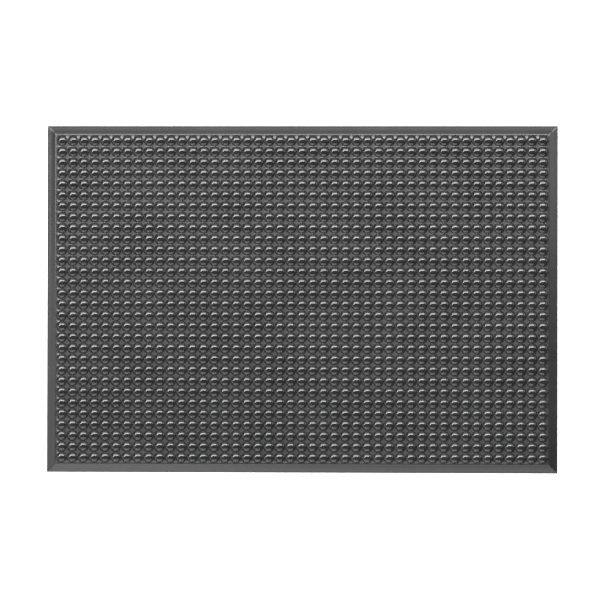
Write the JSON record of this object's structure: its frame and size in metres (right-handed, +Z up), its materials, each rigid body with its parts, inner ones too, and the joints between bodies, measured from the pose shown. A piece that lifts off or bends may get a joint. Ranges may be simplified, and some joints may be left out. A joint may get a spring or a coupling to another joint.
{
  "type": "door mat",
  "caption": "Rectangular black rubber floor mat with a grid of round domes on top and sloping mitred edging on all four sides.",
  "frame": {"origin": "centre of the flat underside, where the mat rests on the floor", "axes": "+X along the mat to the right, +Y across it to the rear, +Z up out of the domes"},
  "size_m": [0.9, 0.6112, 0.014],
  "materials": {
    "tread_rubber": "black moulded rubber, satin to glossy on the domes",
    "edging_rubber": "black moulded rubber, fine satin grain",
    "core_rubber": "matt black closed-cell rubber",
    "backing_rubber": "matt black rubber sheet with a fine fabric-pressed grain"
  },
  "bodies": {
    "root": {"domed_tread": "tread_rubber", "cushion_core": "core_rubber", "backing_sheet": "backing_rubber", "front_edging": "edging_rubber", "rear_edging": "edging_rubber", "left_edging": "edging_rubber", "right_edging": "edging_rubber"}
  },
  "joints": []
}
